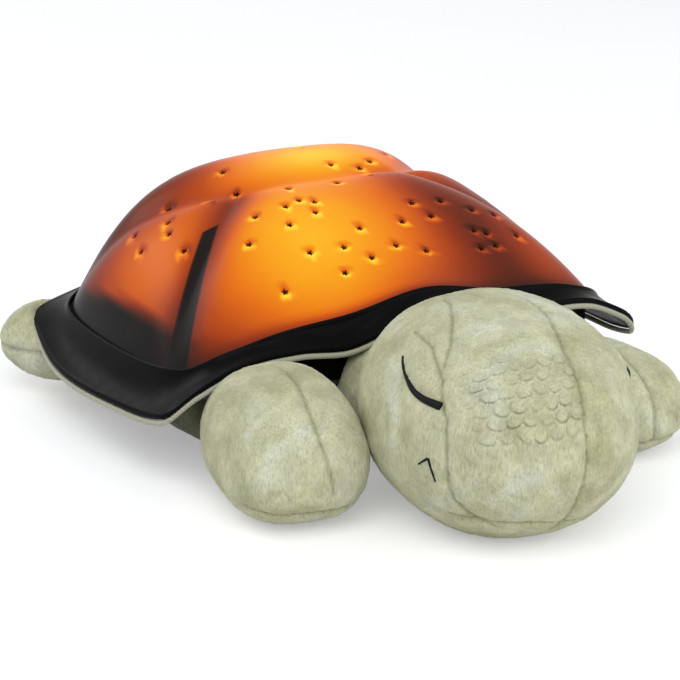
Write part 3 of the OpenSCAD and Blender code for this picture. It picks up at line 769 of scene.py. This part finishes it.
def times(tree, a, b, share=1.0):
    """One colour multiplied by another, wholly or in part."""
    return put(tree, "ShaderNodeMix", {0: share, 6: a, 7: b}, data_type="RGBA", blend_type="MULTIPLY").outputs[2]


def pads(t, place):
    """Height of rows of round pads that stand half a pad apart from row to row, highest at their lower edge."""
    u, v, faded = (put(t, "ShaderNodeAttribute", attribute_name=key).outputs["Fac"]
                   for key in ("scale_u", "scale_v", "scale_fade"))
    v = worked(t, "ADD", v, worked(t, "MULTIPLY", noise(t, place, 110.0, 1.0), SCALE_WAVER))
    u = worked(t, "ADD", u, worked(t, "MULTIPLY", noise(t, place, 50.0), SCALE_DRIFT))
    shift = worked(t, "MULTIPLY", worked(t, "MODULO", worked(t, "FLOOR", v), 2.0), 0.5)
    beside = worked(t, "SUBTRACT", worked(t, "FRACT", worked(t, "ADD", u, shift)), 0.5)
    above = worked(t, "SUBTRACT", worked(t, "FRACT", v), 0.5)
    off = put(t, "ShaderNodeCombineXYZ", {"X": beside, "Y": above}).outputs[0]
    off = put(t, "ShaderNodeVectorMath", {0: off}, operation="LENGTH").outputs["Value"]
    pad = ranged(t, off, PAD_OUT, PAD_IN, 0.0, 1.0, interpolation_type="SMOOTHSTEP")
    lower = ranged(t, above, -0.4, 0.5, 1.0, 0.1)
    return worked(t, "MULTIPLY", worked(t, "MULTIPLY", pad, lower), faded)


def plush(name, dark, light, pale, scaled=False):
    """Short-pile plush: cloudy dyed patches, brushed fibres and pale sheen, with painted shade down in the seams."""
    mat, t, shader, place = nodes_of(name)
    patch, small = noise(t, place, 30.0, 4.0, 0.62, 0.7), noise(t, place, 95.0, 3.0, 0.6, 0.5)
    fibre = noise(t, put(t, "ShaderNodeMapping", {"Vector": place, "Scale": NAP}).outputs[0], 1.0, 3.0, 0.65)
    seam_shade = put(t, "ShaderNodeAttribute", attribute_name="seam_shade").outputs["Fac"]
    tone = ramp(t, patch, (0.34, dark), (0.52, light), (0.68, pale))
    tone = times(t, tone, ramp(t, small, (0.3, 0.80), (0.7, 1.08)))
    tone = times(t, tone, ramp(t, fibre, (0.30, 0.74), (0.47, 0.98), (0.68, 1.13)))
    give(t, shader, {"Base Color": times(t, tone, SEAM_SHADE_TONE, seam_shade), "Roughness": 0.92, "Specular IOR Level": 0.2,
                     "Sheen Weight": 0.35, "Sheen Roughness": 0.55, "Sheen Tint": (*rgb(226, 226, 205), 1)})
    nap = relief(t, shader, worked(t, "ADD", fibre, small), 0.65, 0.0009)
    if scaled:
        press = put(t, "ShaderNodeBump", {"Height": pads(t, place), "Strength": 0.9, "Distance": PAD_DEEP})
        t.links.new(press.outputs[0], nap.inputs["Normal"])
    return mat


SAGE = rgb(180, 178, 138), rgb(202, 201, 166), rgb(214, 215, 194)
sage = plush("sage_plush", *SAGE)
scaled_sage = plush("sage_plush_scaled", *SAGE, scaled=True)

pile = bpy.data.textures.new("pile", "CLOUDS")
pile.noise_scale, pile.noise_depth = 0.0018, 1
dents = bpy.data.textures.new("dents", "CLOUDS")
dents.noise_scale, dents.noise_depth = 0.024, 2
PILE_DEEP, DENTS_DEEP, DENTS_MID = 0.7, 1.6, 0.55
EVEN_PASSES, START_OUT, HELD_NEAR, SOLE_HIGH = 14, 0.2, 2.4, 0.6
PRESSURE, STIFFNESS, BENDING, CLOTH_MASS, CLOTH_FRAMES = 4.0, 8, 0.6, 0.25, 20
GROOVE_DEEP, GROOVE_HALF, PUCKER, PUCKER_RATE = 1.0, 1.5, 0.25, 1.1
GROOVE_SHADE, WELT, WELT_AT, WELT_HALF = 0.8, 0.2, 5, 2.6


def distances(co, path):
    """Distance in millimetres from each point to the polyline, and how far along it the nearest place is."""
    best = np.full(len(co), 1e9)
    where = np.zeros(len(co))
    run = 0.0
    for a, b in zip(path[:-1], path[1:]):
        a, b = np.array(a, float), np.array(b, float)
        d = b - a
        t = np.clip(((co - a) @ d) / (d @ d), 0, 1)
        r = np.linalg.norm(co - a - t[:, None] * d, axis=1)
        near = r < best
        best[near] = r[near]
        where[near] = run + t[near] * np.linalg.norm(d)
        run += np.linalg.norm(d)
    return best, where


def read(obj, key):
    """Every vertex's place or direction, in one array."""
    flat = np.zeros(len(obj.data.vertices) * 3)
    obj.data.vertices.foreach_get(key, flat)
    return flat.reshape(-1, 3)


def set_coords(obj, co):
    obj.data.vertices.foreach_set("co", co.ravel())
    obj.data.update()


def bell(d, half):
    return np.exp(-(d / half) ** 2)


def on_skin(obj, path, steps=5):
    """The path with more points, each moved to the nearest place on the skin."""
    path = [np.array(p, float) for p in path]
    line = [a + (b - a) * k / steps for a, b in zip(path[:-1], path[1:]) for k in range(steps)] + path[-1:]
    return [np.array(obj.closest_point_on_mesh(Vector(p) * MM)[1]) / MM for p in line]


def swollen(obj, co, n, dist, swell):
    """Where the bag's skin lies after a cloth run with air inside, its seams and its sole held."""
    start = co + n * START_OUT * MM
    set_coords(obj, start)
    held = obj.vertex_groups.new(name="held")
    for i in np.where((dist < HELD_NEAR) | (co[:, 2] < SOLE_HIGH * MM))[0]:
        held.add([int(i)], 1.0, "REPLACE")
    m = obj.modifiers.new("cloth", "CLOTH")
    c = m.settings
    c.use_pressure, c.uniform_pressure_force = True, PRESSURE
    c.effector_weights.gravity = 0
    c.tension_stiffness = c.compression_stiffness = STIFFNESS
    c.bending_stiffness = BENDING
    c.mass, c.quality = CLOTH_MASS, 4
    c.vertex_group_mass = "held"
    m.point_cache.frame_end = CLOTH_FRAMES
    for f in range(1, CLOTH_FRAMES + 1):
        bpy.context.scene.frame_set(f)
    moved = read(obj.evaluated_get(bpy.context.evaluated_depsgraph_get()), "co") - start
    obj.modifiers.clear()
    bpy.context.scene.frame_set(1)
    obj.vertex_groups.clear()
    far = np.linalg.norm(moved, axis=1, keepdims=True)
    return start + moved * np.minimum(1, swell * MM / np.maximum(far, 1e-9))


def stuffed(name, node, seams, cloth, voxel=2.2, swell=3.0, extra=None):
    """The node's form as a sewn bag: remeshed, swollen as cloth that its seams hold in, then given its pile."""
    obj = bpy.data.objects.new(name, nodes[node].data.copy())
    obj.data.name = name
    bpy.context.scene.collection.objects.link(obj)
    edit(obj)
    bpy.ops.mesh.remove_doubles(threshold=TOUCHING)
    close_edit()
    m = obj.modifiers.new("remesh", "REMESH")
    m.mode, m.voxel_size = "VOXEL", voxel * MM
    m = obj.modifiers.new("even", "SMOOTH")
    m.factor, m.iterations = 0.5, EVEN_PASSES
    apply_all(obj)
    co = read(obj, "co")
    dist = np.full(len(co), 1e9)
    seams = [on_skin(obj, path) for path in seams]
    for path in seams:
        dist = np.minimum(dist, distances(co / MM, path)[0])
    set_coords(obj, swollen(obj, co, read(obj, "normal"), dist, swell))
    m = obj.modifiers.new("round", "SUBSURF")
    m.levels = m.render_levels = 1
    apply_all(obj)
    co, n = read(obj, "co"), read(obj, "normal")
    # shade is painted shade along the seams' grooves, kept at every vertex for the plush material
    shade, push = np.zeros(len(co)), np.zeros(len(co))
    for path in seams:
        d, along = distances(co / MM, on_skin(obj, path, 1))
        push -= GROOVE_DEEP * bell(d, GROOVE_HALF) * (1 + PUCKER * np.sin(along * PUCKER_RATE))
        push += WELT * bell(d - WELT_AT, WELT_HALF)
        shade = np.maximum(shade, 0.8 * bell(d, GROOVE_SHADE))
    set_coords(obj, co + n * (push * MM)[:, None])
    if extra:
        extra(obj)
    write(obj, "seam_shade", shade)
    for key, texture, deep, mid in (("dents", dents, DENTS_DEEP, DENTS_MID), ("pile", pile, PILE_DEEP, 0.5)):
        m = obj.modifiers.new(key, "DISPLACE")
        m.texture, m.strength, m.mid_level = texture, deep * MM, mid
    apply_all(obj)
    co = read(obj, "co")
    co[:, 2] = np.maximum(co[:, 2], 0.0)
    set_coords(obj, co)
    dress(obj, cloth)
    only(obj)
    bpy.ops.object.shade_smooth()
    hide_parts(node)
    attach(obj, "turtle")
    return obj


PLUMP_FROM, PLUMP_RUN, PLUMP_RISE = 34, 28, 6.0


def plump_top(obj):
    """The right front flipper is stuffed up against the rim's piping."""
    co = read(obj, "co")
    co[:, 2] += PLUMP_RISE * MM * np.clip((co[:, 2] / MM - PLUMP_FROM) / PLUMP_RUN, 0, 1) ** 2
    set_coords(obj, co)


def turned(p, angle):
    c, s = math.cos(math.radians(angle)), math.sin(math.radians(angle))
    return np.stack([c * p[..., 0] - s * p[..., 1], s * p[..., 0] + c * p[..., 1], p[..., 2]], -1)


def head_local(p):
    """A point in the head's own directions: across, towards the nose (negative y) and up."""
    return turned(np.asarray(p, float) - HEAD_MID, -HEAD_TURN)


def other_side(path):
    return turned(head_local(path) * (-1, 1, 1), HEAD_TURN) + HEAD_MID


CHEEK_SEAM = [(-50, -98, 89), (-53, -117, 88), (-59, -135, 79), (-63, -140, 71), (-63, -145, 65), (-65, -148, 53),
              (-64, -148, 39), (-61, -148, 29), (-54, -153, 20), (-44, -158, 12)]
CROWN_SEAM = [(-28, -86, 99), (-31, -97, 98), (-39, -111, 96), (-48, -124, 91), (-56, -131, 84)]
FAR_SEAM = [(0, -112, 101), (-2, -129, 98), (-10, -154, 90), (-11, -166, 81), (-14, -176, 66), (-14, -179, 52),
            (-15, -177, 34), (-16, -171, 20), (-18, -160, 9)]
CHIN_SEAM = [(-62, -142, 16), (-54, -153, 18), (-44, -162, 17), (-32, -168, 16), (-12, -168, 14), (6, -158, 14)]
EYE = [(-60, -103, 81), (-61, -105, 79), (-64, -111, 76), (-65, -117, 74), (-66, -122, 72), (-66, -129, 70.5),
       (-65, -135, 70), (-63, -140, 70)]
GUSSET_MID, GUSSET_HALF, GUSSET_FADE, GUSSET_CURVE = -15, 19, 7, 62
SCALE_W, SCALE_H, SCALES_FROM, SCALES_TO, SCALES_IN, SCALES_OUT = 6.9, 6.0, 4, 50, 8, 10
PATCHY_ACROSS, PATCHY_UP, PRESS_MEAN, PRESS_VARIES = 0.31, 0.23, 0.75, 0.35
LID_DEEP, LID_HALF, LID_SWELL, LID_REACH, LID_UP = 1.2, 2.2, 0.8, 6, (0, -1, 8)


def scales(obj):
    """Rows of pressed scales on the gusset, soft and uneven, and a fold under each closed eyelid."""
    co, n = read(obj, "co"), read(obj, "normal")
    local = head_local(co / MM)
    across = local[:, 0] - GUSSET_MID
    rise = np.degrees(np.arctan2(local[:, 2], -local[:, 1]))
    up = np.radians(rise) * GUSSET_CURVE
    fade = (np.clip(1 - np.maximum(np.abs(across) - GUSSET_HALF, 0) / GUSSET_FADE, 0, 1)
            * np.clip((rise - SCALES_FROM) / SCALES_IN, 0, 1) * np.clip((SCALES_TO - rise) / SCALES_OUT, 0, 1)
            * (local[:, 1] < 0))
    write(obj, "scale_u", across / SCALE_W)
    write(obj, "scale_v", up / SCALE_H)
    patchy = np.sin(across * PATCHY_ACROSS + 1.0) * np.sin(up * PATCHY_UP)
    write(obj, "scale_fade", fade * (PRESS_MEAN + PRESS_VARIES * patchy))
    sink = np.zeros(len(co))
    for path in (EYE, other_side(EYE)):
        sink -= LID_DEEP * bell(distances(co / MM, path)[0], LID_HALF)
        sink += LID_SWELL * bell(distances(co / MM, np.asarray(path) + LID_UP)[0], LID_REACH)
    set_coords(obj, co + n * (sink * MM)[:, None])


head = stuffed("head_plush", "head", [CHEEK_SEAM, CROWN_SEAM, FAR_SEAM, CHIN_SEAM, other_side(CHEEK_SEAM)],
               scaled_sage, extra=scales)

# Eyes and nostrils: lines of black satin stitch worked through the plush, thickest at the seam
STITCH_PROUD = 0.15
thread, t, shader, place = nodes_of("black_satin_thread")
strand = put(t, "ShaderNodeTexWave", {"Vector": place, "Scale": 700.0, "Distortion": 1.0}, wave_type="BANDS",
             bands_direction="Y").outputs["Fac"]
give(t, shader, {"Base Color": ramp(t, strand, (0.2, rgb(6, 6, 6)), (0.8, rgb(18, 18, 18))), "Roughness": 0.6,
                 "Specular IOR Level": 0.15})
relief(t, shader, strand, 0.6, 0.0003)


def stitched(name, node, lines):
    """Each line is points over the head and the stitch's half width at each end."""
    parts = []
    for path, r0, r1 in lines:
        curve = added(name, bpy.ops.curve.primitive_bezier_curve_add)
        curve.data.splines.clear()
        line = curve.data.splines.new("NURBS")
        line.points.add(len(path) - 1)
        line.use_endpoint_u, line.order_u = True, 3
        for k, p in enumerate(path):
            _, where, normal, _ = head.closest_point_on_mesh(Vector(p) * MM)
            line.points[k].co = (*(where + normal * STITCH_PROUD * MM), 1)
            line.points[k].radius = r0 + (r1 - r0) * k / (len(path) - 1)
        curve.data.dimensions, curve.data.bevel_depth, curve.data.bevel_resolution = "3D", 1 * MM, 4
        curve.data.resolution_u, curve.data.use_fill_caps = 8, True
        bpy.ops.object.convert(target="MESH")
        parts.append(bpy.context.object)
    only(*parts)
    if len(parts) > 1:
        bpy.ops.object.join()
    obj = parts[0]
    dress(obj, thread)
    smooth(obj, 60)
    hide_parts(node)
    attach(obj, "turtle")


NOSTRIL_TOP = [(-69, -134, 43), (-68.6, -137, 45.5), (-68, -139, 47)]
NOSTRIL_FRONT = [(-68, -139.5, 47), (-67, -141, 42.5), (-66, -142, 37)]
for side, turn_over in (("right", lambda p: p), ("left", other_side)):
    stitched("eye_stitch_" + side, "eye_" + side, [(turn_over(EYE), 0.45, 2.0)])
    stitched("nostril_stitch_" + side, "nostril_" + side,
             [(turn_over(NOSTRIL_TOP), 0.35, 0.6), (turn_over(NOSTRIL_FRONT), 0.65, 0.4)])

# ---------------------------------------------------------------- neck, flippers and tail
# More bags of the same plush, each sewn shut along its seams and stitched to the belly under the rim.
stuffed("neck_plush", "neck", [], sage, voxel=2.6)
stuffed("front_flipper_plush_right", "front_flipper_right",
        [[(-90, -50, 60), (-92, -66, 59), (-97, -88, 53), (-97, -98, 45), (-95, -103, 33), (-93, -103, 22)],
         [(-126, -78, 14), (-122, -88, 13), (-107, -97, 12), (-95, -100, 11), (-83, -99, 12), (-68, -92, 14)]], sage,
        extra=plump_top)
stuffed("front_flipper_plush_left", "front_flipper_left",
        [[(84, -50, 52), (82, -80, 46), (81, -98, 37), (81, -103, 23), (82, -101, 13)],
         [(106, -86, 12), (95, -98, 11), (82, -101, 11), (66, -96, 12)]], sage)
REAR_SEAM = [(70, 120, 27), (100, 116, 27), (128, 124, 26), (142, 138, 26), (138, 152, 26), (110, 163, 27),
             (80, 160, 27)]
for side, sign in (("right", -1), ("left", 1)):
    stuffed("rear_flipper_plush_" + side, "rear_flipper_" + side,
            [[(sign * x, y, z) for x, y, z in REAR_SEAM]], sage)
stuffed("tail_plush", "tail", [], sage)

# ---------------------------------------------------------------- belly and cell flap
# The stuffed underside is darker plush round a well for the cell bay. A flat flap covers the well, sewn along its
# front edge and held at the back by a strip of hook and loop tape.
moss = plush("moss_plush", rgb(72, 74, 52), rgb(92, 94, 68), rgb(110, 112, 86))
belly = stuffed("belly_plush", "belly", [], moss, voxel=3.2, swell=1.0)

WELL_L, WELL_W, WELL_SQUARE, RECESS_W, FLAP_IN, FLAP_SHIFT = 31, 38, 10, 8, 1.15, -0.6
FLAP_LOW, FLAP_T, FLAP_EDGE, FLAP_SEW = 1.3, 2.1, 0.7, ((1.2, 0.0), (0.5, 0.25), (0.5, -0.25))
flap = added("cell_flap_plush", bpy.ops.mesh.primitive_circle_add, vertices=96, radius=1, fill_type="NGON")
for v in flap.data.vertices:
    a = math.atan2(v.co.x, -v.co.y)
    r = ((abs(math.cos(a) / WELL_L) ** WELL_SQUARE + abs(math.sin(a) / WELL_W) ** WELL_SQUARE) ** (-1 / WELL_SQUARE)
         + RECESS_W - FLAP_IN)
    v.co = Vector((r * math.sin(a), SHELL_Y - r * math.cos(a) + FLAP_SHIFT, FLAP_LOW)) * MM
edit(flap)
for inward, deep in FLAP_SEW:
    bpy.ops.mesh.inset(thickness=inward * MM, depth=deep * MM)
bpy.ops.mesh.select_all(action="SELECT")
bpy.ops.mesh.extrude_region_move(TRANSFORM_OT_translate={"value": (0, 0, FLAP_T * MM)})
close_edit(recalculate=True)
bevel = flap.modifiers.new("edge", "BEVEL")
bevel.width, bevel.segments, bevel.limit_method = FLAP_EDGE * MM, 3, "ANGLE"
apply_all(flap)
dress(flap, moss)
smooth(flap, 50)
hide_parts("flap")
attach(flap, "cell_flap")

tape, t, shader, place = nodes_of("hook_and_loop_tape")
hooks = put(t, "ShaderNodeTexVoronoi", {"Vector": place, "Scale": 1400.0}).outputs["Distance"]
give(t, shader, {"Base Color": ramp(t, hooks, (0.1, rgb(58, 58, 58)), (0.5, rgb(22, 22, 22))), "Roughness": 0.8})
relief(t, shader, hooks, 0.8, 0.0004)
TAPE_EDGE = 0.2
for node, body in (("hook_tape", "cell_flap"), ("loop_tape", "turtle")):
    box = read(nodes[node], "co")
    low, high = box.min(axis=0) / MM, box.max(axis=0) / MM
    strip = block(node + "_strip", high[0] - low[0], high[1] - low[1], low[2], high[2])
    strip.data.transform(Matrix.Translation(((low[0] + high[0]) / 2 * MM, (low[1] + high[1]) / 2 * MM, 0)))
    edit(strip)
    bpy.ops.mesh.bevel(offset=TAPE_EDGE * MM, segments=2)
    close_edit()
    dress(strip, tape)
    smooth(strip)
    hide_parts(node)
    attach(strip, body)

# ---------------------------------------------------------------- studio
# A pale sweep under soft lamps, and the camera a little above and in front of the toy's right side.
floor = added("studio_floor", bpy.ops.mesh.primitive_plane_add, size=12)
FLOOR_LIFT = 0.35


def seen(tree):
    """1 for rays that show the background itself: the camera's, mirrored ones and those through clear plastic."""
    rays = put(tree, "ShaderNodeLightPath").outputs
    both = worked(tree, "MAXIMUM", rays["Is Camera Ray"], rays["Is Glossy Ray"])
    return worked(tree, "MAXIMUM", both, rays["Is Transmission Ray"])


pale, t, shader, place = nodes_of("pale_floor")
give(t, shader, {"Base Color": ramp(t, noise(t, place, 3.0), (0.3, 0.80), (0.7, 0.82)), "Roughness": 1.0,
                 "Specular IOR Level": 0.0, "Emission Color": (1, 1, 1, 1),
                 "Emission Strength": worked(t, "MULTIPLY", seen(t), FLOOR_LIFT)})
dress(floor, pale)
floor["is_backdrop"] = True

world = bpy.data.worlds.new("studio")
bpy.context.scene.world = world
world.use_nodes = True
t = world.node_tree
t.nodes.clear()
soft = put(t, "ShaderNodeBackground", {"Color": (0.9, 0.95, 1.0, 1), "Strength": 0.45})
white = put(t, "ShaderNodeBackground", {"Color": (1, 1, 1, 1), "Strength": 1.0})
both = put(t, "ShaderNodeMixShader", {0: seen(t), 1: soft.outputs[0], 2: white.outputs[0]})
t.links.new(both.outputs[0], put(t, "ShaderNodeOutputWorld").inputs[0])


def lamp(name, at, aim, size, power, tone=(1, 1, 1)):
    o = added(name, bpy.ops.object.light_add, type="AREA", location=at)
    o.rotation_euler = (Vector(aim) - Vector(at)).to_track_quat("-Z", "Y").to_euler()
    o.data.size, o.data.energy, o.data.color = size, power, tone


lamp("key_lamp", (-1.2, -1.5, 2.2), (0, 0, 0.05), 2.4, 46)
lamp("fill_lamp", (1.2, -2.0, 0.9), (0, 0, 0.05), 2.0, 20)
lamp("back_lamp", (-0.9, 1.7, 1.3), (0, 0.05, 0.08), 0.9, 9)

camera_at, camera_aim = Vector((-0.5953, -0.9714, 0.4318)), Vector((-0.0237, 0.0119, 0.0484))
camera = added("Camera", bpy.ops.object.camera_add, location=camera_at)
camera.rotation_euler = (camera_aim - camera_at).to_track_quat("-Z", "Y").to_euler()
camera.data.lens = 131.5
bpy.context.scene.camera = camera
bpy.context.scene.view_settings.view_transform = "Standard"

low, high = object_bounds()
